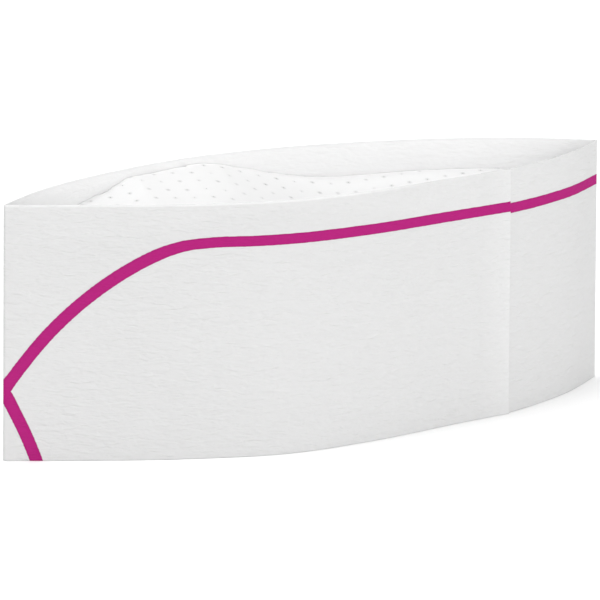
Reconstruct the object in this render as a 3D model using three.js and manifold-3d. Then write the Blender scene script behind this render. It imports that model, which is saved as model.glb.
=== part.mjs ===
// Disposable forage cap for food hygiene: a boat-shaped band of white crepe paper, folded at the
// front and the back, and a crown of perforated tissue glued inside it, open at the bottom.
// Millimetres, +Z up. -X is the front fold, +X the back fold, -Y the wearer's left side ("near").
// The origin is the middle of the box at the bottom rim, which the cap stands on.
import * as THREE from 'three';
import { mergeVertices } from 'three/addons/utils/BufferGeometryUtils.js';
import Module from 'manifold-3d';

// Driving dimensions. The length is the top rim's: each fold leans out towards the bottom rim
const capLength = 280;
const capHeight = 104;
const foldLean = 1.5;
const paperWall = 1.0;
const glueGap = 0.3;
const foldRadius = 1.2;
const foldSide = -2.0;

// The band's strip closes in a glued lap on the near side: the front end lies on the back end
const lapEdge = 74;
const lapTuck = 15;
const lapRamp = 20;
const wallStep = 7;
const lapBend = { out: 1.0, span: 30 };

// Half widths of the band's outer face beside the centre plane, from front to back
const planStations = [
  { along: -112, near: 17.5, far: 18.6 },
  { along: -77, near: 34.7, far: 34.6 },
  { along: -38, near: 47.3, far: 46.0 },
  { along: 0, near: 47.6, far: 48.5 },
  { along: 38, near: 42.2, far: 44.7 },
  { along: 77, near: 35.4, far: 34.7 },
  { along: 112, near: 21.4, far: 19.2 },
];

// The tissue crown: glued up to seamHeight, over a crest beside each wall, down to a centre crease
const crownWall = 1.0;
const seamHeight = 87.5;
const flangeHeight = 5;
const crestMargin = 3.2;
const crestRound = 0.05;
const crownStations = [
  { along: -127, crest: 89.8, crease: 89.0 },
  { along: -108, crest: 91.2, crease: 89.7 },
  { along: -88, crest: 94.3, crease: 90.8 },
  { along: -76, crest: 96.8, crease: 91.3 },
  { along: -62, crest: 99.3, crease: 91.5 },
  { along: -50, crest: 100.1, crease: 91.5 },
  { along: -38, crest: 100.5, crease: 91.4 },
  { along: -24, crest: 100.9, crease: 88.2 },
  { along: -9, crest: 97.7, crease: 84.0 },
  { along: 5, crest: 94.5, crease: 80.0 },
  { along: 20, crest: 91.4, crease: 77.0 },
  { along: 33, crest: 90.0, crease: 76.8 },
  { along: 48, crest: 89.8, crease: 79.0 },
  { along: 65, crest: 90.3, crease: 82.0 },
  { along: 86, crest: 90.6, crease: 85.0 },
  { along: 106, crest: 90.6, crease: 87.4 },
  { along: 127, crest: 90.0, crease: 88.6 },
];
const crownStep = 5.8;
const creaseSoftness = 0.05;

// Perforation: a nearly square lattice turned a little in the plane. Every second hole is cut
const holePitch = { along: 8.2, side: 7.9 };
const holeTurn = THREE.MathUtils.degToRad(-7);
const holeOrigin = new THREE.Vector2(-27.1, 13.6);
const holeWidth = 1.5;
const holeMargin = 0.92;
const holeReach = 118;

// Smooth curve through one side's stations, closed on the folds at both ends. The near side bends
// a little where the two layers of the lap end
function sidePoints(side) {
  const sign = side === 'near' ? -1 : 1;
  const foldCentre = capLength / 2 - foldRadius;
  const tangent = THREE.MathUtils.degToRad(32);
  const foldX = foldCentre + foldRadius * Math.sin(tangent);
  const foldY = foldSide + sign * foldRadius * Math.cos(tangent);
  const knots = [new THREE.Vector2(-foldX, foldY)];
  for (const station of planStations) {
    knots.push(new THREE.Vector2(station.along, sign * station[side]));
  }
  knots.push(new THREE.Vector2(foldX, foldY));
  const points = new THREE.SplineCurve(knots).getPoints(400);
  for (const point of side === 'near' ? points : []) {
    const share = THREE.MathUtils.clamp(1 - Math.abs(point.x - lapEdge) / lapBend.span, 0, 1);
    point.y -= lapBend.out * share ** 2;
  }
  return points;
}

const wallSides = { near: sidePoints('near'), far: sidePoints('far') };

// Point and outward normal of the band's outer face on one side, at a distance along the cap
function wallAt(side, along) {
  const points = wallSides[side];
  let index = points.findIndex((point) => point.x >= along);
  index = Math.min(Math.max(index, 1), points.length - 1);
  const from = points[index - 1];
  const to = points[index];
  const share = THREE.MathUtils.clamp((along - from.x) / (to.x - from.x), 0, 1);
  const point = from.clone().lerp(to, share);
  const heading = to.clone().sub(from).normalize();
  const normal = side === 'near'
    ? new THREE.Vector2(heading.y, -heading.x)
    : new THREE.Vector2(-heading.y, heading.x);
  return { point, normal };
}

// Depths of the band's two faces inside the outline. At the lap the back end dips under the front
// end, so that the outline runs on across it
function lapDip(along) {
  if (along < lapEdge) {
    return 0;
  }
  return paperWall * THREE.MathUtils.clamp(1 - (along - lapEdge) / lapRamp, 0, 1);
}

function innerDepth(side, along) {
  if (side === 'far' || along < lapEdge - lapTuck) {
    return paperWall;
  }
  return paperWall + (along < lapEdge ? paperWall : lapDip(along));
}

function evenSteps(from, to, step) {
  const count = Math.round((to - from) / step);
  return Array.from({ length: count + 1 }, (unused, index) => from + (index * (to - from)) / count);
}

// One contour of the band's plan, anticlockwise from the front fold: near wall, back fold, far wall
function bandContour(face) {
  const contour = [];
  const foldCentre = capLength / 2 - foldRadius;
  const addWall = (side, along, depth) => {
    const { point, normal } = wallAt(side, along);
    contour.push(point.addScaledVector(normal, -depth));
  };
  const addFold = (end) => {
    const radius = face === 'outer' ? foldRadius : foldRadius - paperWall;
    const facing = end === 'front' ? Math.PI : 0;
    for (const turn of [-50, -25, 0, 25, 50]) {
      const angle = facing + THREE.MathUtils.degToRad(turn);
      const centre = end === 'front' ? -foldCentre : foldCentre;
      contour.push(new THREE.Vector2(
        centre + radius * Math.cos(angle),
        foldSide + radius * Math.sin(angle),
      ));
    }
  };
  const reach = capLength / 2 - foldRadius;
  const nearStops = face === 'outer'
    ? [-reach, lapEdge, lapEdge, reach]
    : [-reach, lapEdge - lapTuck, lapEdge - lapTuck, reach];
  addFold('front');
  for (const [start, stop] of [nearStops.slice(0, 2), nearStops.slice(2)]) {
    const beforeLap = stop === nearStops[1];
    for (const along of evenSteps(start, stop, wallStep)) {
      const nudge = beforeLap ? -1e-6 : 1e-6;
      const depth = face === 'outer' ? lapDip(along + nudge) : innerDepth('near', along + nudge);
      addWall('near', along, depth);
    }
  }
  addFold('back');
  for (const along of evenSteps(-reach, reach, wallStep).reverse()) {
    addWall('far', along, face === 'outer' ? 0 : paperWall);
  }
  return contour;
}

function outerBand() {
  const plan = new THREE.Shape(bandContour('outer'));
  plan.holes.push(new THREE.Path(bandContour('inner')));
  const band = new THREE.ExtrudeGeometry(plan, { depth: capHeight, bevelEnabled: false });
  const position = band.attributes.position;
  for (let index = 0; index < position.count; index += 1) {
    const below = 1 - position.getZ(index) / capHeight;
    position.setX(index, position.getX(index) * (1 + (below * foldLean) / (capLength / 2)));
  }
  return band;
}

// Value of one crown column at a distance along the cap, between its two nearest stations
function crownValue(column, along) {
  let index = crownStations.findIndex((station) => station.along >= along);
  index = Math.min(Math.max(index, 1), crownStations.length - 1);
  const from = crownStations[index - 1];
  const to = crownStations[index];
  const share = THREE.MathUtils.clamp((along - from.along) / (to.along - from.along), 0, 1);
  return THREE.MathUtils.lerp(from[column], to[column], share);
}

// Half width of the tissue's middle surface on one side, a glue gap inside the slanting wall.
// It clears the deepest face within one step, such as the tucked end at the lap
function crownHalf(side, along) {
  const paper = Math.max(innerDepth(side, along - crownStep), innerDepth(side, along + crownStep));
  const depth = paper + glueGap + crownWall / 2;
  const { point, normal } = wallAt(side, along);
  return Math.abs(point.y) - depth / Math.abs(normal.y);
}

// Distance of the crest from the centre plane on one side
function crestPlace(side, along) {
  return crownHalf(side, along) - crestMargin;
}

// Height of the crown at a share of the way from the crease to the crest: a straight slope up to a
// narrow level strip
function domeHeight(along, share) {
  const crest = crownValue('crest', along);
  const crease = crownValue('crease', along);
  const soft = Math.hypot(share, creaseSoftness) - creaseSoftness * (1 - share);
  const straight = soft / 0.93;
  return crease + ((crest - crease) * (straight + 1 - Math.hypot(straight - 1, crestRound))) / 2;
}

// Half a section of the tissue, from the flange's bottom edge to the crest and down to the crease
function halfSection(side, along) {
  const half = crownHalf(side, along);
  const crest = crownValue('crest', along);
  const crestSide = crestPlace(side, along);
  const section = [
    { side: half, height: seamHeight - flangeHeight },
    { side: half, height: seamHeight - flangeHeight / 2 },
    { side: half, height: seamHeight },
  ];
  for (const turn of [25, 50, 72]) {
    const angle = THREE.MathUtils.degToRad(turn);
    section.push({
      side: crestSide + (half - crestSide) * Math.cos(angle),
      height: seamHeight + (crest - seamHeight) * Math.sin(angle),
    });
  }
  for (const share of [1, 0.92, 0.74, 0.56, 0.39, 0.24, 0.1]) {
    section.push({ side: crestSide * share, height: domeHeight(along, share) });
  }
  return section;
}

// The tissue's middle surface as rows of points across the cap, from the near flange to the far one
function crownRows() {
  const ends = crownStations[crownStations.length - 1].along;
  return evenSteps(-ends, ends, crownStep).map((along) => {
    const place = (sign) => (point) => new THREE.Vector3(along, sign * point.side, point.height);
    const near = halfSection('near', along).map(place(-1));
    const far = halfSection('far', along).map(place(1));
    const middle = new THREE.Vector3(along, 0, domeHeight(along, 0));
    return [...near, middle, ...far.reverse()];
  });
}

// Gives a sheet of points a thickness, half to each side, as one closed body
function thickSheet(rows, thickness) {
  const rowCount = rows.length;
  const columnCount = rows[0].length;
  const positions = [];
  const addSkin = (sign) => {
    for (let row = 0; row < rowCount; row += 1) {
      for (let column = 0; column < columnCount; column += 1) {
        const ahead = rows[Math.min(row + 1, rowCount - 1)][column];
        const behind = rows[Math.max(row - 1, 0)][column];
        const right = rows[row][Math.min(column + 1, columnCount - 1)];
        const left = rows[row][Math.max(column - 1, 0)];
        const normal = ahead.clone().sub(behind).cross(right.clone().sub(left)).normalize();
        const point = rows[row][column].clone().addScaledVector(normal, (sign * thickness) / 2);
        positions.push(point.x, point.y, point.z);
      }
    }
  };
  addSkin(1);
  addSkin(-1);
  const skinSize = rowCount * columnCount;
  const indices = [];
  const addQuad = (a, b, c, d) => indices.push(a, b, c, a, c, d);
  const at = (row, column, skin) => skin * skinSize + row * columnCount + column;
  for (let row = 0; row < rowCount - 1; row += 1) {
    for (let column = 0; column < columnCount - 1; column += 1) {
      const corners = [[row, column], [row + 1, column], [row + 1, column + 1], [row, column + 1]];
      addQuad(...corners.map(([r, c]) => at(r, c, 0)));
      addQuad(...corners.reverse().map(([r, c]) => at(r, c, 1)));
    }
    const last = columnCount - 1;
    addQuad(at(row, 0, 0), at(row, 0, 1), at(row + 1, 0, 1), at(row + 1, 0, 0));
    addQuad(at(row + 1, last, 0), at(row + 1, last, 1), at(row, last, 1), at(row, last, 0));
  }
  for (let column = 0; column < columnCount - 1; column += 1) {
    const last = rowCount - 1;
    addQuad(at(0, column + 1, 0), at(0, column + 1, 1), at(0, column, 1), at(0, column, 0));
    addQuad(at(last, column, 0), at(last, column, 1), at(last, column + 1, 1), at(last, column + 1, 0));
  }
  const geometry = new THREE.BufferGeometry();
  geometry.setAttribute('position', new THREE.Float32BufferAttribute(positions, 3));
  geometry.setIndex(indices);
  return geometry;
}

// Share of the way from the crease to the crest of a place in the plan
function crestShare(along, side) {
  return Math.abs(side) / crestPlace(side < 0 ? 'near' : 'far', along);
}

function crownHeight(along, side) {
  return domeHeight(along, Math.min(crestShare(along, side), 1));
}

// One six-sided punch for each second hole of the perforation, square to the sheet
function holePunches() {
  const punches = [];
  const lattice = 30;
  for (let column = -lattice; column <= lattice; column += 1) {
    for (let row = -lattice; row <= lattice; row += 1) {
      const place = new THREE.Vector2(column * holePitch.along, row * holePitch.side)
        .add(holeOrigin)
        .rotateAround(holeOrigin, holeTurn);
      const along = place.x;
      const side = place.y;
      if ((column + row) % 2 !== 0 || Math.abs(along) > holeReach) {
        continue;
      }
      if (crestShare(along, side) > holeMargin) {
        continue;
      }
      const height = crownHeight(along, side);
      const slopeAlong = crownHeight(along + 1, side) - crownHeight(along - 1, side);
      const slopeSide = crownHeight(along, side + 1) - crownHeight(along, side - 1);
      const normal = new THREE.Vector3(-slopeAlong / 2, -slopeSide / 2, 1).normalize();
      const punch = new THREE.CylinderGeometry(holeWidth / 2, holeWidth / 2, 5 * crownWall, 6);
      const turn = new THREE.Quaternion().setFromUnitVectors(new THREE.Vector3(0, 1, 0), normal);
      punch.applyQuaternion(turn);
      punch.translate(along, side, height);
      punches.push(punch);
    }
  }
  return punches;
}

const wasm = await Module();
wasm.setup();

function toSolid(geometry) {
  const bare = geometry.clone();
  bare.deleteAttribute('normal');
  bare.deleteAttribute('uv');
  const merged = mergeVertices(bare);
  return new wasm.Manifold(new wasm.Mesh({
    numProp: 3,
    vertProperties: new Float32Array(merged.attributes.position.array),
    triVerts: new Uint32Array(merged.index.array),
  }));
}

function fromSolid(solid) {
  const mesh = solid.getMesh();
  const geometry = new THREE.BufferGeometry();
  geometry.setAttribute('position', new THREE.Float32BufferAttribute(mesh.vertProperties, 3));
  geometry.setIndex(Array.from(mesh.triVerts));
  geometry.computeVertexNormals();
  return geometry;
}

function crown() {
  let sheet = toSolid(thickSheet(crownRows(), crownWall));
  for (const punch of holePunches()) {
    sheet = sheet.subtract(toSolid(punch));
  }
  return fromSolid(sheet);
}

const crepePaper = new THREE.MeshStandardMaterial({ color: 0xe9e9e9, roughness: 0.95, metalness: 0 });
const tissuePaper = new THREE.MeshStandardMaterial({ color: 0xf6f6f6, roughness: 0.9, metalness: 0 });

function namedMesh(name, geometry, material) {
  const mesh = new THREE.Mesh(geometry, material);
  mesh.name = name;
  return mesh;
}

const cap = new THREE.Group();
cap.name = 'hygiene_cap';
cap.add(namedMesh('outer_band', outerBand(), crepePaper));
cap.add(namedMesh('crown', crown(), tissuePaper));

export default cap;
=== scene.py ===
import math

import bpy
import numpy as np
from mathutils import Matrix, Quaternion, Vector, noise


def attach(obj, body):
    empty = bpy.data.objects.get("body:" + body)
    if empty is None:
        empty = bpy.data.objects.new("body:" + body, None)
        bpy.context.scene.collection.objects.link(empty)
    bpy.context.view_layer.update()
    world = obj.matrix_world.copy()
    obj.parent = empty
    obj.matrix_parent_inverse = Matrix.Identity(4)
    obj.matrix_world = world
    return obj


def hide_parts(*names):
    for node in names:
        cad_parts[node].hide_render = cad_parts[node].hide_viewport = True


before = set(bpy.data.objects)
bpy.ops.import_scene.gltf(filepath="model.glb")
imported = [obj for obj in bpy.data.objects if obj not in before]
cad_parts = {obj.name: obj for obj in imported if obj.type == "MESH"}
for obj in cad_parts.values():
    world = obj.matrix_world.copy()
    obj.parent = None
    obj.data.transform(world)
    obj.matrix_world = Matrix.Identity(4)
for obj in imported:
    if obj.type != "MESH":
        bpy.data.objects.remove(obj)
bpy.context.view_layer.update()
print("frame loaded:", ", ".join(sorted(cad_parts)))

mm = 0.001  # sizes below are in millimetres: -X is the front fold, -Y the wearer's left

view = {
    "azimuth": -29.9,  # degrees, from straight in front of the near wall
    "elevation": 13.35,
    "roll": 0.32,
    "distance": 1700,
    "target": (-3.2, 1.84, 49.31),
    "lens": 246.84,
    "sensor": 36,
    "clipEnd": 50,  # metres
}


def placeCamera():
    turn, lift = math.radians(view["azimuth"]), math.radians(view["elevation"])
    back = Vector((math.sin(turn) * math.cos(lift), -math.cos(turn) * math.cos(lift), math.sin(lift)))
    bpy.ops.object.camera_add()
    camera = bpy.context.object
    camera.name = "studioCamera"
    camera.data.lens = view["lens"]
    camera.data.sensor_width = view["sensor"]
    camera.data.clip_end = view["clipEnd"]
    camera.location = (Vector(view["target"]) + back * view["distance"]) * mm
    camera.rotation_mode = "QUATERNION"
    roll = Quaternion((0, 0, 1), math.radians(view["roll"]))
    camera.rotation_quaternion = back.to_track_quat("Z", "Y") @ roll
    bpy.context.scene.camera = camera


studio = {
    "skyColor": (1.0, 1.0, 1.0),
    "skyStrength": 0.36,
    "floorSize": 12,  # metres
    "floorDrop": 0.15,  # mm below the bottom rim
    "floorColor": (0.93, 0.93, 0.93),
    "floorShade": 0.99,  # darkest part of its faint mottle
    "floorMottle": 6,
    "floorRoughness": 0.9,
    "floorGloss": 0.1,
    "aim": (0, 0, 0.05),  # metres
    "softboxes": [  # metres and watts
        {"name": "topSoftbox", "place": (0, 0.2, 2.4), "size": 2.2, "power": 40},
        {"name": "leftSoftbox", "place": (-2.0, 0, 2.0), "size": 1.6, "power": 28.5},
        {"name": "frontSoftbox", "place": (0.4, -2.6, 0.9), "size": 1.8, "power": 49.5},
        {"name": "backSoftbox", "place": (0, 2.6, 1.2), "size": 2.0, "power": 24},
    ],
}


def buildStudio():
    world = bpy.data.worlds.new("paleRoom")
    world.use_nodes = True
    background = world.node_tree.nodes["Background"]
    background.inputs["Color"].default_value = (*studio["skyColor"], 1)
    background.inputs["Strength"].default_value = studio["skyStrength"]
    bpy.context.scene.world = world
    bpy.context.scene.view_settings.view_transform = "Standard"
    for box in studio["softboxes"]:
        bpy.ops.object.light_add(type="AREA", location=box["place"])
        light = bpy.context.object
        light.name = box["name"]
        light.data.shape = "SQUARE"
        light.data.size = box["size"]
        light.data.energy = box["power"]
        aim = Vector(studio["aim"]) - light.location
        light.rotation_mode = "QUATERNION"
        light.rotation_quaternion = aim.to_track_quat("-Z", "Y")
    bpy.ops.mesh.primitive_plane_add(size=studio["floorSize"], location=(0, 0, -studio["floorDrop"] * mm))
    floor = bpy.context.object
    floor.name = "studioFloor"
    bpy.ops.object.transform_apply(location=True, rotation=True, scale=True)
    paint = bpy.data.materials.new("floorPaint")
    paint.use_nodes = True
    tree = paint.node_tree
    shader = tree.nodes["Principled BSDF"]
    shader.inputs["Roughness"].default_value = studio["floorRoughness"]
    shader.inputs["Specular IOR Level"].default_value = studio["floorGloss"]
    grain = addNode(tree, "ShaderNodeTexNoise")
    grain.inputs["Scale"].default_value = studio["floorMottle"]
    place = addNode(tree, "ShaderNodeTexCoord")
    tone = addNode(tree, "ShaderNodeMix", data_type="RGBA")
    tone.inputs["A"].default_value = (*studio["floorColor"], 1)
    tone.inputs["B"].default_value = (*[studio["floorShade"] * value for value in studio["floorColor"]], 1)
    tree.links.new(place.outputs["Object"], grain.inputs["Vector"])
    tree.links.new(grain.outputs["Fac"], tone.inputs["Factor"])
    tree.links.new(tone.outputs["Result"], shader.inputs["Base Color"])
    floor.data.materials.append(paint)


def addNode(tree, kind, **values):
    node = tree.nodes.new(kind)
    for name, value in values.items():
        setattr(node, name, value)
    return node


def mathNode(tree, operation, first, second):
    node = addNode(tree, "ShaderNodeMath", operation=operation)
    for socket, value in zip(node.inputs, (first, second)):
        if isinstance(value, (int, float)):
            socket.default_value = value
        else:
            tree.links.new(value, socket)
    return node.outputs[0]


def mapRange(tree, value, fromRange, toRange=(0, 1), ramp="SMOOTHSTEP"):
    node = addNode(tree, "ShaderNodeMapRange", interpolation_type=ramp)
    for socket, limit in zip(("From Min", "From Max", "To Min", "To Max"), (*fromRange, *toRange)):
        node.inputs[socket].default_value = limit
    tree.links.new(value, node.inputs["Value"])
    return node.outputs["Result"]


cap = {
    "length": 280,  # top rim, fold to fold
    "height": 104,
    "foldLean": 1.5,  # how far each fold stands out at the bottom rim
    "foldRadius": 1.2,
    "foldTurn": 58,  # degrees, from a fold's edge round to each wall
    "foldPoints": 13,
    "foldSide": -2.0,
    "smoothAngle": 50,  # degrees
    "lapBend": {"along": 74, "out": 1.0, "span": 30},
    "stations": [  # half widths of the outer face, from front to back
        {"along": -112, "near": 17.5, "far": 18.6},
        {"along": -77, "near": 34.7, "far": 34.6},
        {"along": -38, "near": 47.3, "far": 46.0},
        {"along": 0, "near": 47.6, "far": 48.5},
        {"along": 38, "near": 42.2, "far": 44.7},
        {"along": 77, "near": 35.4, "far": 34.7},
        {"along": 112, "near": 21.4, "far": 19.2},
    ],
    "planPoints": 1201,
    "sway": {  # soft unevenness of handled paper; none at the folds
        "slow": {"length": 48, "width": 60, "seed": 0, "sideSeed": 3.1, "height": 0.45},
        "quick": {"length": 17, "width": 26, "seed": 7.7, "sideSeed": 2.3, "height": 0.12},
        "foldMargin": 4,
        "foldSpan": 25,
    },
}


def smoothLine(knots, count):  # one smooth curve through the knots, evenly shared out
    knots = np.array(knots, float)
    padded = np.vstack([knots[:1], knots, knots[-1:]])
    place = np.linspace(0, len(knots) - 1, count)
    start = np.minimum(place.astype(int), len(knots) - 2)
    share = (place - start)[:, None]
    before, here, ahead, beyond = (padded[start + step] for step in range(4))
    leave, arrive = (ahead - before) / 2, (beyond - here) / 2
    return (
        here
        + leave * share
        + (3 * (ahead - here) - 2 * leave - arrive) * share**2
        + (2 * (here - ahead) + leave + arrive) * share**3
    )


def wallLine(side):  # outer face of one wall in plan, from the front fold to the back fold
    sign = -1 if side == "near" else 1
    centre = cap["length"] / 2 - cap["foldRadius"]
    turn = math.radians(90 - cap["foldTurn"])
    foldX = centre + cap["foldRadius"] * math.sin(turn)
    foldY = cap["foldSide"] + sign * cap["foldRadius"] * math.cos(turn)
    middle = [(row["along"], sign * row[side]) for row in cap["stations"]]
    line = smoothLine([(-foldX, foldY), *middle, (foldX, foldY)], cap["planPoints"])
    if side == "near":  # the strip bends where its two layers end
        bend = cap["lapBend"]
        line[:, 1] -= bend["out"] * np.clip(1 - abs(line[:, 0] - bend["along"]) / bend["span"], 0, 1) ** 2
    return line


def foldArc(centreX, startTurn, endTurn):
    turns = np.radians(np.linspace(startTurn, endTurn, cap["foldPoints"]))[1:-1]
    arc = np.stack([np.cos(turns), np.sin(turns)], 1) * cap["foldRadius"]
    return arc + (centreX, cap["foldSide"])


walls = {"near": wallLine("near"), "far": wallLine("far")}


def wallSide(side, along):  # distance of the outer face from the centre plane
    return np.interp(along, walls[side][:, 0], walls[side][:, 1])


def leanOut(along, height):  # the folds stand out towards the bottom rim
    below = 1 - height / cap["height"]
    return along * (1 + below * cap["foldLean"] / (cap["length"] / 2))


def markNoise(mark, along, across, seed):
    return noise.noise(Vector((along / mark["length"], across / mark["width"], seed)))


def swayAt(along, height, sideSign):  # outwards
    sway = cap["sway"]
    slow, quick = (
        mark["height"] * markNoise(mark, along, height, mark["seed"] + mark["sideSeed"] * sideSign)
        for mark in (sway["slow"], sway["quick"])
    )
    toFold = min(1, max(0, (cap["length"] / 2 - sway["foldMargin"] - abs(along)) / sway["foldSpan"]))
    return toFold * (slow + quick)


band = {
    "name": "paperBand",
    "wall": 0.55,
    "lapEdge": 74,  # along: where the front end lies on the back end
    "lapTuck": 15,
    "lapRamp": 20,
    "lapGap": 0.08,
    "lapLift": 0.35,  # the free edge stands a little proud
    "lapLiftSpan": 8,
    "columnStep": 1.6,
    "foldStep": 0.35,
    "foldSpan": 4,
    "shortestStep": 0.3,
    "rows": 64,
    "softCreases": [  # faint standing creases on the near wall, along and height
        {"top": (-22, 46), "bottom": (-27, 15), "depth": 0.7, "width": 4},
        {"top": (-70, 48), "bottom": (-72, 26), "depth": 0.3, "width": 5},
    ],
    "creaseReach": 6,  # widths of a crease
}

stripe = {
    "halfWidth": {"straight": 2.17, "falling": 2.5},
    "line": [  # middle of the print, by the distance from the front fold along one wall
        {"fromFold": -13.1, "height": 0},
        {"fromFold": -9, "height": 10.3},
        {"fromFold": -4.5, "height": 19.9},
        {"fromFold": 0, "height": 28.6},
        {"fromFold": 8, "height": 40.1},
        {"fromFold": 18, "height": 52.3},
        {"fromFold": 30, "height": 63.9},
        {"fromFold": 44, "height": 74.6},
        {"fromFold": 58, "height": 82.7},
        {"fromFold": 70, "height": 87.0},
        {"fromFold": 82, "height": 88.3},
        {"fromFold": 94, "height": 88.4},
    ],
    "linePoints": 221,
    "levelHeight": 88.3,
    "behindLap": 87.3,
    "stepStart": 285,  # the step hides under the lap
    "stepEnd": 300,
    "farEnd": 420,
    "fallingSpan": {"start": 74, "length": 14},  # where the falling part's width takes over
}


def bandRoute():  # middle of the strip in plan, from its free edge round to its tucked end
    near, far = walls["near"], walls["far"]
    centre = cap["length"] / 2 - cap["foldRadius"]
    lapX, endX = band["lapEdge"], band["lapEdge"] - band["lapTuck"]
    apart = 0.1  # keeps both ends off the wall's next points
    head = np.vstack([[(lapX, wallSide("near", lapX))], near[near[:, 0] < lapX - apart][::-1]])
    tail = np.vstack([near[near[:, 0] > endX + apart][::-1], [(endX, wallSide("near", endX))]])
    front = foldArc(-centre, 180 + cap["foldTurn"], 180 - cap["foldTurn"])
    back = foldArc(centre, cap["foldTurn"], -cap["foldTurn"])
    route = np.vstack([head, front, far, back, tail])
    heading = np.gradient(route, axis=0)
    heading /= np.linalg.norm(heading, axis=1)[:, None]
    outward = np.stack([-heading[:, 1], heading[:, 0]], 1)
    depth = np.full(len(route), band["wall"] / 2)
    tucked = np.arange(len(route)) >= len(route) - len(tail)
    dip = np.clip(1 - (route[:, 0] - lapX) / band["lapRamp"], 0, 1)
    dip = dip * dip * (3 - 2 * dip)
    depth = np.where(tucked, depth + (band["wall"] + band["lapGap"]) * dip, depth)
    free = np.arange(len(route)) < len(head)
    lift = np.clip(1 - (lapX - route[:, 0]) / band["lapLiftSpan"], 0, 1) ** 2
    depth = np.where(free, depth - band["lapLift"] * lift, depth)
    middle = route - outward * depth[:, None]
    reach = np.concatenate([[0], np.cumsum(np.linalg.norm(np.diff(middle, axis=0), axis=1))])
    folds = [reach[len(head) + len(front) // 2], reach[len(head) + len(front) + len(far) + len(back) // 2]]
    return middle, outward, reach, folds


def columnStops(total, folds):
    stops = [0.0]
    while stops[-1] < total:
        closest = min(abs(stops[-1] - fold) for fold in folds)
        step = band["foldStep"] if closest < band["foldSpan"] else band["columnStep"]
        stops.append(stops[-1] + step)
    stops[-1] = total
    if stops[-1] - stops[-2] < band["shortestStep"]:
        del stops[-2]
    return np.array(stops)


def stripeDistance(fromFold, height):  # in half widths of the print, from its middle line
    knots = [(row["fromFold"], row["height"]) for row in stripe["line"]]
    line = smoothLine(knots, stripe["linePoints"])
    level, behind = stripe["levelHeight"], stripe["behindLap"]
    step = [
        (line[-1, 0], level),
        (stripe["stepStart"], level),
        (stripe["stepEnd"], behind),
        (stripe["farEnd"], behind),
    ]
    line = np.vstack([line[:-1], step])
    points = np.stack([fromFold, height], 1)
    best = np.full(len(points), 1e9)
    for start, end in zip(line[:-1], line[1:]):
        span = end - start
        share = np.clip(((points - start) @ span) / (span @ span), 0, 1)
        best = np.minimum(best, np.linalg.norm(points - start - share[:, None] * span, axis=1))
    span = stripe["fallingSpan"]
    falling = np.clip((span["start"] - fromFold) / span["length"], 0, 1)
    half = stripe["halfWidth"]["straight"] * (1 - falling) + stripe["halfWidth"]["falling"] * falling
    return best / half


def flatGrid(name, columns, rows):  # a flat sheet of quads; gives each vertex's column and row
    bpy.ops.object.select_all(action="DESELECT")
    bpy.ops.mesh.primitive_grid_add(x_subdivisions=columns, y_subdivisions=rows, size=1)
    sheet = bpy.context.object
    sheet.name = name
    sheet.data.name = name
    places = readPlaces(sheet)
    column = np.rint((places[:, 0] + 0.5) * columns).astype(int)
    row = np.rint((places[:, 1] + 0.5) * rows).astype(int)
    return sheet, column, row


def readPlaces(piece):
    places = np.empty(len(piece.data.vertices) * 3)
    piece.data.vertices.foreach_get("co", places)
    return places.reshape(-1, 3)


def writePlaces(piece, places):
    piece.data.vertices.foreach_set("co", np.ascontiguousarray(places, float).ravel())
    piece.data.update()


def writeSheetMap(piece, flat):  # the paper's own map: flat is each vertex's place on the flat sheet, 0 to 1
    sheetMap = piece.data.uv_layers[0]
    sheetMap.name = "sheetMap"
    corners = np.empty(len(piece.data.loops), int)
    piece.data.loops.foreach_get("vertex_index", corners)
    sheetMap.data.foreach_set("uv", flat[corners].ravel())


def writeValue(piece, name, values):
    layer = piece.data.attributes.new(name, "FLOAT", "POINT")
    layer.data.foreach_set("value", values)


def turnOver(piece):
    bpy.ops.object.mode_set(mode="EDIT")
    bpy.ops.mesh.select_all(action="SELECT")
    bpy.ops.mesh.flip_normals()
    bpy.ops.object.mode_set(mode="OBJECT")


def giveWall(piece, wall):  # thickness half to each side; the inner face takes the second material
    solid = piece.modifiers.new("paperWall", "SOLIDIFY")
    solid.thickness = wall * mm
    solid.offset = 0
    solid.use_even_offset = True
    solid.material_offset = 1
    bpy.ops.object.modifier_apply(modifier=solid.name)


def creaseAt(along, height):  # faint standing creases on the near wall
    out = 0
    for crease in band["softCreases"]:
        (topX, topZ), (lowX, lowZ) = crease["top"], crease["bottom"]
        share = (topZ - height) / (topZ - lowZ)
        fade = max(0, 1 - abs(2 * share - 1) ** 2)
        away = (along - (topX + (lowX - topX) * share)) / crease["width"]
        out += crease["depth"] * fade * math.exp(-abs(away)) if abs(away) < band["creaseReach"] else 0
    return out


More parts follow.
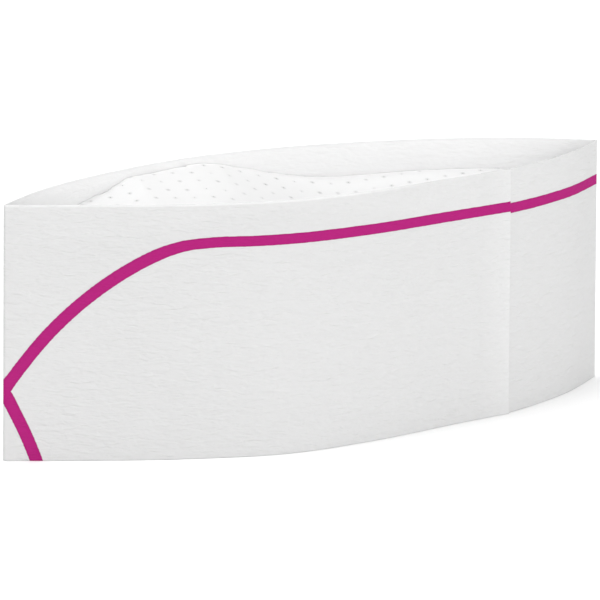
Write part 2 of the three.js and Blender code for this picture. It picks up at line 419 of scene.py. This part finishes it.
def buildBand():
    middle, outward, reach, folds = bandRoute()
    stops = columnStops(reach[-1], folds)
    sheet, column, row = flatGrid(band["name"], len(stops) - 1, band["rows"])
    run = stops[column]
    height = row / band["rows"] * cap["height"]
    along, side, outX, outY = (
        np.interp(run, reach, values)
        for values in (middle[:, 0], middle[:, 1], outward[:, 0], outward[:, 1])
    )
    sway = np.array([swayAt(x, z, 1 if y > cap["foldSide"] else -1) for x, y, z in zip(along, side, height)])
    sway += np.array([creaseAt(x, z) if y < cap["foldSide"] else 0 for x, y, z in zip(along, side, height)])
    places = np.stack([leanOut(along + outX * sway, height), side + outY * sway, height], 1)
    writePlaces(sheet, places * mm)
    turnOver(sheet)  # the printed face outwards
    total = reach[-1]
    writeSheetMap(sheet, np.stack([run / total, height / total], 1))
    writeValue(sheet, "stripeNear", stripeDistance(folds[0] - run, height))
    writeValue(sheet, "stripeFar", stripeDistance(run - folds[0], height))
    sheet.data.materials.append(paperMaterial("crepePaperPrinted", crepe, total, printed=True))
    sheet.data.materials.append(paperMaterial("crepePaperPlain", crepe, total, printed=False))
    writeValue(sheet, "doubledAndCrestHighlight", np.clip(1 - np.minimum(run, total - run) / band["lapTuck"], 0, 1))
    giveWall(sheet, band["wall"])
    bpy.ops.object.shade_smooth_by_angle(angle=math.radians(cap["smoothAngle"]))
    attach(sheet, "root")
    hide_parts("outer_band")
    print("band wrapped:", round(total), "x", cap["height"], "mm flat,", len(sheet.data.polygons), "faces")
    return sheet


crown = {
    "name": "tissueCrown",
    "wall": 0.3,
    "reach": 127,
    "seamHeight": 87.5,
    "flangeHeight": 5,
    "glueGap": 0.15,
    "crestGap": 0.03,  # from the crest to the glued flange
    "crestRound": 0.05,
    "slopeShare": 0.93,  # a straight slope up to a narrow level strip along the crest
    "creaseSoftness": 0.05,
    "rimMargin": 0.6,
    "tuckRamp": 4,  # the tissue gives way to the band's tucked end over this run
    "looseSpan": 9,  # the tissue's own folds fade out over this run, towards the seam
    "swaySpan": 8,  # the wall's unevenness fades out over this run, from the crest inwards
    "wrinkles": [  # soft creases of thin tissue: length and width of the marks, seed and height
        {"length": 21, "width": 15, "seed": 1.7, "height": 0.35},
        {"length": 7, "width": 6.5, "seed": 4.4, "height": 0.2},
    ],
    "ridges": {"length": 16, "width": 27, "seed": 9.2, "height": 0.25, "sharpness": 2.4},
    "crestHighlightWidth": 3,  # painted highlight along the crest, faded in over this run before it
    "columnStep": 2.1,
    "domeRows": 21,
    "riseRows": 6,
    "flangeRows": 3,
    "linePoints": 481,
    "domePoints": 41,
    "crestPoints": 19,
    "stations": [  # crest beside each wall and centre crease
        {"along": -127, "crest": 89.8, "crease": 89.0},
        {"along": -108, "crest": 91.2, "crease": 89.7},
        {"along": -88, "crest": 94.3, "crease": 90.8},
        {"along": -76, "crest": 96.8, "crease": 91.3},
        {"along": -62, "crest": 99.3, "crease": 91.5},
        {"along": -50, "crest": 100.1, "crease": 91.5},
        {"along": -38, "crest": 100.5, "crease": 91.4},
        {"along": -24, "crest": 100.9, "crease": 88.2},
        {"along": -9, "crest": 97.7, "crease": 84.0},
        {"along": 5, "crest": 94.5, "crease": 80.0},
        {"along": 20, "crest": 91.4, "crease": 77.0},
        {"along": 33, "crest": 90.0, "crease": 76.8},
        {"along": 48, "crest": 89.8, "crease": 79.0},
        {"along": 65, "crest": 90.3, "crease": 82.0},
        {"along": 86, "crest": 90.6, "crease": 85.0},
        {"along": 106, "crest": 90.6, "crease": 87.4},
        {"along": 127, "crest": 90.0, "crease": 88.6},
    ],
    "folds": [  # standing folds across the tissue; height above the sheet around them
        {"start": (-67, 0), "end": (-61, 40), "height": 1.5, "width": 15},
        {"start": (-30, 8), "end": (-17, 42), "height": 0.3, "width": 4},
        {"start": (-104, 3), "end": (-92, 22), "height": 0.35, "width": 6},
        {"start": (12, 4), "end": (24, 40), "height": 0.35, "width": 6},
        {"start": (58, -20), "end": (44, 38), "height": 0.4, "width": 7},
        {"start": (-52, -36), "end": (-38, -4), "height": 0.5, "width": 7},
        {"start": (20, -40), "end": (8, -6), "height": 0.5, "width": 8},
    ],
    "foldEnds": {"reach": 1.15, "span": 0.3},  # of half a fold's length
    "foldSharpness": 1.3,
}

perforation = {
    "pitch": 8.4,
    "turn": -6.6,  # degrees, from the cap's length
    "origin": (-11.5, 27.0),  # one hole's place on the flat sheet, from its middle
    "radius": 0.31,
    "segments": 3,
    "edgeMargin": 1.8,
    "columns": 20,  # tried each way from the origin
    "rows": 12,
}


def crownColumn(name):
    knots = [(row["along"], row[name]) for row in crown["stations"]]
    line = smoothLine(knots, crown["linePoints"])
    return line[:, 0], line[:, 1]


crownLines = {name: crownColumn(name) for name in ("crest", "crease")}


def wallSlope(side, along):
    step = 1.0
    return (wallSide(side, along + step) - wallSide(side, along - step)) / (2 * step)


def crownHalf(sign, along):  # half width of the tissue on one side
    side = "near" if sign < 0 else "far"
    face = abs(wallSide(side, along))
    slope = wallSlope(side, along)
    depth = band["wall"] + crown["glueGap"] + crown["wall"] / 2
    if side == "near":
        tuckStart = band["lapEdge"] - band["lapTuck"] - crown["tuckRamp"]
        ramp = min(1, max(0, (along - tuckStart) / crown["tuckRamp"]))
        dip = min(1, max(0, 1 - (along - band["lapEdge"]) / band["lapRamp"]))
        depth += ramp * dip * dip * (3 - 2 * dip) * (band["wall"] + band["lapGap"])
    return face - depth * math.hypot(1, slope)


def crownSection(sign, along):  # one side from the crease out over the crest and down the flange
    crest, crease = (np.interp(along, *crownLines[name]) for name in ("crest", "crease"))
    half = crownHalf(sign, along)
    crestSide = half - crown["crestGap"]
    share = np.linspace(0, 1, crown["domePoints"])
    soft = np.hypot(share, crown["creaseSoftness"]) - crown["creaseSoftness"] * (1 - share)
    straight = soft / crown["slopeShare"]
    slope = (straight + 1 - np.hypot(straight - 1, crown["crestRound"])) / 2
    dome = crease + (crest - crease) * slope
    turn = np.radians(np.linspace(90, 0, crown["crestPoints"]))[1:]
    seam = crown["seamHeight"]
    riseSide = crestSide + (half - crestSide) * np.cos(turn)
    riseHeight = seam + (crest - seam) * np.sin(turn)
    flangeHeight = [seam - crown["flangeHeight"] / 2, seam - crown["flangeHeight"]]
    side = np.concatenate([crestSide * share, riseSide, [half, half]])
    height = np.concatenate([dome, riseHeight, flangeHeight])
    arc = np.concatenate([[0], np.cumsum(np.hypot(np.diff(side), np.diff(height)))])
    crestMark = len(dome) - 1
    marks = (arc[crestMark], arc[crestMark + len(turn)], arc[-1])  # crest, seam, bottom edge of the flange
    return sign * side, height, arc, marks


def wrinkleAt(along, side):
    soft, small = (mark["height"] * markNoise(mark, along, side, mark["seed"]) for mark in crown["wrinkles"])
    ridges = crown["ridges"]
    ridge = 1 - abs(markNoise(ridges, along, side, ridges["seed"])) * ridges["sharpness"]
    lift = soft + small + ridges["height"] * max(0, ridge) ** 3
    return lift + sum(foldLift(fold, along, side) for fold in crown["folds"])


def foldLift(fold, along, side):
    (startX, startY), (endX, endY) = fold["start"], fold["end"]
    runX, runY = endX - startX, endY - startY
    length = math.hypot(runX, runY)
    share = ((along - startX) * runX + (side - startY) * runY) / length**2
    away = abs((along - startX) * runY - (side - startY) * runX) / length
    ends = min(1, max(0, crown["foldEnds"]["reach"] - abs(2 * share - 1)) / crown["foldEnds"]["span"])
    return fold["height"] * ends * max(0, 1 - away / fold["width"]) ** crown["foldSharpness"]


def buildCrown():
    reach = crown["reach"]
    columns = round(2 * reach / crown["columnStep"])
    alongs = np.linspace(-reach, reach, columns + 1)
    sections = {sign: [crownSection(sign, along) for along in alongs] for sign in (-1, 1)}
    # true run along the sheet, taken at the middle of the dome
    level = (np.interp(alongs, *crownLines["crest"]) + np.interp(alongs, *crownLines["crease"])) / 2
    run = np.concatenate([[0], np.cumsum(np.hypot(np.diff(alongs), np.diff(level)))])
    run -= run[-1] / 2
    rowsAside = crown["domeRows"] + crown["riseRows"] + crown["flangeRows"]
    sheet, column, row = flatGrid(crown["name"], columns, 2 * rowsAside)
    aside = row - rowsAside
    steps = np.array([0, crown["domeRows"], crown["domeRows"] + crown["riseRows"], rowsAside])
    across = np.array([
        math.copysign(1, a) * np.interp(abs(a), steps, [0, *sections[-1 if a < 0 else 1][c][3]])
        for a, c in zip(aside, column)
    ])
    flat = np.stack([run[column], across], 1)
    flat, holes = seatHoles(flat, column, row, run, sections)
    writePlaces(sheet, np.column_stack([flat, np.zeros(len(flat))]) * mm)
    centres = flat[holes]
    punchHoles(sheet, holes, centres)
    flat = readPlaces(sheet)[:, :2] / mm
    doubledAndCrestHighlight = wrapCrown(sheet, flat, run, alongs)
    width = 2 * max(section[3][2] for section in sections[1])
    total = run[-1] - run[0]
    writeSheetMap(sheet, flat / total + 0.5)
    writeValue(sheet, "doubledAndCrestHighlight", doubledAndCrestHighlight)
    sheet.data.materials.append(paperMaterial("tissuePaper", tissue, total, printed=False))
    giveWall(sheet, crown["wall"])
    bpy.ops.object.shade_smooth_by_angle(angle=math.radians(cap["smoothAngle"]))
    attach(sheet, "root")
    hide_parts("crown")
    print("crown laid:", round(total), "x", round(width), "mm flat,", len(centres), "holes")
    return sheet


def holeCloseness(tree, sheetMap, sheetLength, ring):  # 1 at a hole's edge, 0 outside its ring
    turn = math.radians(perforation["turn"])
    start = (np.array(perforation["origin"]) + sheetLength / 2) / perforation["pitch"]
    lattice = addNode(tree, "ShaderNodeMapping")
    lattice.inputs["Scale"].default_value = (*[sheetLength / perforation["pitch"]] * 2, 1)
    lattice.inputs["Rotation"].default_value = (0, 0, -turn)
    lattice.inputs["Location"].default_value = (
        -start[0] * math.cos(turn) - start[1] * math.sin(turn),
        start[0] * math.sin(turn) - start[1] * math.cos(turn),
        0,
    )
    cells = addNode(tree, "ShaderNodeTexVoronoi", voronoi_dimensions="2D")
    cells.inputs["Scale"].default_value = 1
    cells.inputs["Randomness"].default_value = 0
    tree.links.new(sheetMap.outputs["UV"], lattice.inputs["Vector"])
    tree.links.new(lattice.outputs["Vector"], cells.inputs["Vector"])
    inner, outer = ring["inner"] / perforation["pitch"], ring["outer"] / perforation["pitch"]
    return mapRange(tree, cells.outputs["Distance"], (inner, outer), (1, 0))


def seatHoles(flat, column, row, run, sections):  # moves the nearest vertex to each hole's centre
    origin = np.array(perforation["origin"])
    turn = math.radians(perforation["turn"])
    step = perforation["pitch"] * np.array([math.cos(turn), math.sin(turn)])
    sideStep = np.array([-step[1], step[0]])
    index = {(c, r): i for i, (c, r) in enumerate(zip(column, row))}
    moved = flat.copy()
    holes = []
    columns, rows = perforation["columns"], perforation["rows"]
    for i in range(-columns, columns + 1):
        for j in range(-rows, rows + 1):
            centre = origin + i * step + j * sideStep
            if abs(centre[0]) > run[-1] - perforation["edgeMargin"]:
                continue
            c = int(np.argmin(abs(run - centre[0])))
            edge = sections[-1 if centre[1] < 0 else 1][c][3][2]
            if abs(centre[1]) > edge - perforation["edgeMargin"]:
                continue
            members = np.where(column == c)[0]
            seat = members[np.argmin(abs(flat[members, 1] - centre[1]))]
            shift = centre - flat[seat]
            c0, r0 = column[seat], row[seat]
            for stepC in (-1, 0, 1):  # its neighbours follow part of the way
                for stepR in (-2, -1, 0, 1, 2):
                    vertex = index.get((c0 + stepC, r0 + stepR))
                    if vertex is not None:
                        moved[vertex] += shift * (1 - abs(stepC) / 2) * (1 - abs(stepR) / 3)
            holes.append(seat)
    return moved, np.array(holes)


def punchHoles(sheet, holes, centres):
    radius = perforation["radius"] * mm
    chosen = np.zeros(len(sheet.data.vertices), bool)
    chosen[holes] = True
    bpy.ops.object.mode_set(mode="EDIT")
    bpy.ops.mesh.select_mode(type="VERT")
    bpy.ops.mesh.select_all(action="DESELECT")
    bpy.ops.object.mode_set(mode="OBJECT")
    sheet.data.vertices.foreach_set("select", chosen)
    bpy.ops.object.mode_set(mode="EDIT")
    bpy.ops.mesh.bevel(
        offset=radius, segments=perforation["segments"], profile=0.25, affect="VERTICES", clamp_overlap=False
    )
    bpy.ops.mesh.select_mode(type="FACE")
    bpy.ops.mesh.select_all(action="DESELECT")
    bpy.ops.object.mode_set(mode="OBJECT")
    faces = sheet.data.polygons
    middles = np.empty(len(faces) * 3)
    faces.foreach_get("center", middles)
    middles = middles.reshape(-1, 3)[:, :2] / mm
    reach = 0.8 * perforation["radius"]  # well inside a hole's edge
    inHole = np.array([np.min(np.hypot(*(centres - middle).T)) < reach for middle in middles])
    faces.foreach_set("select", inHole)
    bpy.ops.object.mode_set(mode="EDIT")
    bpy.ops.mesh.delete(type="FACE")
    bpy.ops.object.mode_set(mode="OBJECT")
    places = readPlaces(sheet)
    for index, place in enumerate(places[:, :2] / mm):  # the holes' edges onto true circles
        away = place - centres
        distance = np.hypot(*away.T)
        nearest = int(np.argmin(distance))
        if 0 < distance[nearest] < 1.02 * perforation["radius"]:
            outwards = away[nearest] / distance[nearest]
            places[index, :2] = (centres[nearest] + outwards * perforation["radius"]) * mm
    writePlaces(sheet, places)


def wrapCrown(sheet, flat, run, alongs):  # lays the flat sheet over the crown's sections
    places = np.empty((len(flat), 3))
    doubledAndCrestHighlight = np.empty(len(flat))
    for index, (u, v) in enumerate(flat):
        along = float(np.interp(u, run, alongs))
        sign = -1 if v < 0 else 1
        side, height, arc, marks = crownSection(sign, along)
        y = float(np.interp(abs(v), arc, side))
        z = float(np.interp(abs(v), arc, height))
        loose = min(1, max(0, (marks[1] - abs(v)) / crown["looseSpan"]))
        lift = loose * wrinkleAt(along, y)
        besideWall = 1 - min(1, max(0, (marks[0] - abs(v)) / crown["swaySpan"]))
        sway = swayAt(along, z, sign) * besideWall
        slope = wallSlope("near" if sign < 0 else "far", along)
        sway /= math.hypot(1, slope)  # outwards, square to the wall
        top = min(z + lift, cap["height"] - crown["rimMargin"])
        places[index] = (leanOut(along - sign * slope * sway, z), y + sign * sway, top)
        # painted highlight: full from the crest over the rise and flange, fading in over the run before the
        # crest
        doubledAndCrestHighlight[index] = min(1, max(0, 1 - (marks[0] - abs(v)) / crown["crestHighlightWidth"]))
    writePlaces(sheet, places * mm)
    return doubledAndCrestHighlight


crepe = {
    "color": (0.666, 0.666, 0.666),
    "shade": (0.644, 0.644, 0.644),
    "doubledAndCrestHighlight": (0.69, 0.69, 0.69),  # two layers let less light through
    # painted light: the inside face of the same paper is coloured much lighter than the outside, standing in
    # for light bounced round inside the cap
    "insidePaintedLight": (0.885, 0.885, 0.885),
    "insidePaintedLightDull": (0.87, 0.87, 0.87),
    "rimPaintedLight": {  # painted highlight outside and painted shade inside along the top edge; it fades out towards the strip's two ends
        "height": 1.1,
        "full": 0.4,  # the upper share of the height that has the whole colour
        "startFade": (30, 90),
        "endFade": (75, 160),
        # painted highlight on the outside face
        "color": (0.74, 0.74, 0.74),
        # painted shade on the inside face
        "insidePaintedLight": (0.83, 0.83, 0.83),
    },
    "roughness": 0.85,
    "gloss": 0.15,
    "throughLight": 0.15,
    "mottle": 9,  # mm
    "ripple": (6, 1.9),  # mm, along and up
    "fineRipple": (2.6, 0.9),
    "fineShare": 0.35,  # of the fine ripple in the relief
    "rippleDepth": 0.48,
    "innerRippleDepth": 0.24,
    "ink": (0.405, 0.014, 0.174),
    "inkEdge": (0.345, 0.01, 0.148),
    "inkEdgeSpan": (0.6, 1.0),  # half widths of the print
    "inkBlur": (0.94, 1.06),
    "inkWobble": 0.12,
}

tissue = {
    "color": (0.895, 0.895, 0.895),
    "shade": (0.865, 0.865, 0.865),
    # painted highlight along the crest and over the rise and flange, lifting the shade where the crest meets
    # the wall
    "doubledAndCrestHighlight": (0.97, 0.97, 0.97),
    "roughness": 0.8,
    "gloss": 0.15,
    "throughLight": 0.35,
    "holeShadeRing": {"inner": 0.4, "outer": 1.5, "color": (0.7, 0.7, 0.7)},  # painted shade round each hole, for the shade of a pressed dimple and of the dark opening; mm from a hole's centre
    "holeShadeStrength": {"size": 14, "from": (0.35, 0.65), "to": (0.2, 1)},  # mm; how strongly the painted shade round each hole shows, varying from hole to hole
    "mottle": 5,
    "ripple": (4, 1.1),
    "fineRipple": (1.2, 0.6),
    "fineShare": 0.35,
    "rippleDepth": 0.05,
}


def rimPaintedLightShare(tree, sheetMap, sheetLength, edge):  # where the top edge's painted highlight and shade go: 1 along the cut top edge, 0 below it and behind the lap
    split = addNode(tree, "ShaderNodeSeparateXYZ")
    tree.links.new(sheetMap.outputs["UV"], split.inputs["Vector"])
    top = cap["height"] / sheetLength
    rise = (top - edge["height"] / sheetLength, top - edge["full"] * edge["height"] / sheetLength)
    share = mapRange(tree, split.outputs["Y"], rise)
    fromStart = split.outputs["X"]
    fromEnd = mathNode(tree, "SUBTRACT", 1, fromStart)
    for place, (start, full) in ((fromStart, edge["startFade"]), (fromEnd, edge["endFade"])):
        fade = mapRange(tree, place, (start / sheetLength, full / sheetLength))
        share = mathNode(tree, "MULTIPLY", share, fade)
    return share


def paperMaterial(name, look, sheetLength, printed):
    material = bpy.data.materials.new(name)
    material.use_nodes = True
    tree = material.node_tree
    tree.nodes.clear()
    output = addNode(tree, "ShaderNodeOutputMaterial")
    shader = addNode(tree, "ShaderNodeBsdfPrincipled")
    through = addNode(tree, "ShaderNodeBsdfTranslucent")
    blend = addNode(tree, "ShaderNodeMixShader")
    blend.inputs["Fac"].default_value = look["throughLight"]
    tree.links.new(shader.outputs["BSDF"], blend.inputs[1])
    tree.links.new(through.outputs["BSDF"], blend.inputs[2])
    tree.links.new(blend.outputs["Shader"], output.inputs["Surface"])
    shader.inputs["Roughness"].default_value = look["roughness"]
    shader.inputs["Specular IOR Level"].default_value = look["gloss"]

    sheetMap = addNode(tree, "ShaderNodeUVMap", uv_map="sheetMap")

    def paperNoise(size, detail, distortion):  # size is the mark's length and height in mm
        stretch = addNode(tree, "ShaderNodeMapping")
        stretch.inputs["Scale"].default_value = (sheetLength / size[0], sheetLength / size[1], 1)
        grain = addNode(tree, "ShaderNodeTexNoise")
        grain.inputs["Scale"].default_value = 1
        grain.inputs["Detail"].default_value = detail
        grain.inputs["Distortion"].default_value = distortion
        tree.links.new(sheetMap.outputs["UV"], stretch.inputs["Vector"])
        tree.links.new(stretch.outputs["Vector"], grain.inputs["Vector"])
        return grain.outputs["Fac"]

    mottle = paperNoise((look["mottle"], look["mottle"]), detail=3, distortion=0)
    ripple = paperNoise(look["ripple"], detail=1, distortion=0.8)
    fine = paperNoise(look["fineRipple"], detail=1, distortion=0.2)
    relief = mathNode(tree, "ADD", ripple, mathNode(tree, "MULTIPLY", fine, look["fineShare"]))
    bump = addNode(tree, "ShaderNodeBump")
    bump.inputs["Strength"].default_value = 1
    depth = look["rippleDepth"] if printed else look.get("innerRippleDepth", look["rippleDepth"])
    bump.inputs["Distance"].default_value = depth * mm
    tree.links.new(relief, bump.inputs["Height"])
    tree.links.new(bump.outputs["Normal"], shader.inputs["Normal"])
    tree.links.new(bump.outputs["Normal"], through.inputs["Normal"])

    def mixColor(factor, first, second):
        mix = addNode(tree, "ShaderNodeMix", data_type="RGBA")
        tree.links.new(factor, mix.inputs["Factor"])
        for socket, value in ((mix.inputs["A"], first), (mix.inputs["B"], second)):
            if isinstance(value, tuple):
                socket.default_value = (*value, 1)
            else:
                tree.links.new(value, socket)
        return mix.outputs["Result"]

    # the inside face takes its painted-light colours
    inner = not printed and "insidePaintedLight" in look
    pale, dull = (look["insidePaintedLight"], look["insidePaintedLightDull"]) if inner else (look["color"], look["shade"])
    color = mixColor(mathNode(tree, "MULTIPLY", mathNode(tree, "ADD", mottle, ripple), 0.5), pale, dull)
    # painted highlight along the outside of the top edge, painted shade along the inside
    if "rimPaintedLight" in look:
        rimPaintedLightColor = look["rimPaintedLight"]["color" if printed else "insidePaintedLight"]
        color = mixColor(rimPaintedLightShare(tree, sheetMap, sheetLength, look["rimPaintedLight"]), color, rimPaintedLightColor)
    # on the band, the lap's doubled layers; on the tissue, a painted highlight along the crest
    if printed or look is tissue:
        layerAndCrestShare = addNode(tree, "ShaderNodeAttribute", attribute_name="doubledAndCrestHighlight")
        color = mixColor(layerAndCrestShare.outputs["Fac"], color, look["doubledAndCrestHighlight"])
    # painted shade round each hole, stronger at some holes than others
    if "holeShadeRing" in look:
        holeShadeStrength = look["holeShadeStrength"]
        marks = paperNoise((holeShadeStrength["size"], holeShadeStrength["size"]), detail=1, distortion=0)
        holeShadeShare = mapRange(tree, marks, holeShadeStrength["from"], holeShadeStrength["to"], ramp="LINEAR")
        ring = holeCloseness(tree, sheetMap, sheetLength, look["holeShadeRing"])
        ring = mathNode(tree, "MULTIPLY", ring, holeShadeShare)
        color = mixColor(ring, color, look["holeShadeRing"]["color"])
    if printed:
        near = addNode(tree, "ShaderNodeAttribute", attribute_name="stripeNear")
        far = addNode(tree, "ShaderNodeAttribute", attribute_name="stripeFar")
        distance = mathNode(tree, "MINIMUM", near.outputs["Fac"], far.outputs["Fac"])
        wobble = mathNode(tree, "MULTIPLY", mathNode(tree, "SUBTRACT", fine, 0.5), look["inkWobble"])
        distance = mathNode(tree, "ADD", distance, wobble)
        solid = mapRange(tree, distance, look["inkBlur"], (1, 0))
        edge = mapRange(tree, distance, look["inkEdgeSpan"])
        color = mixColor(solid, color, mixColor(edge, look["ink"], look["inkEdge"]))
    tree.links.new(color, shader.inputs["Base Color"])
    tree.links.new(color, through.inputs["Color"])
    return material


placeCamera()
buildStudio()
print("studio set")
buildBand()
buildCrown()
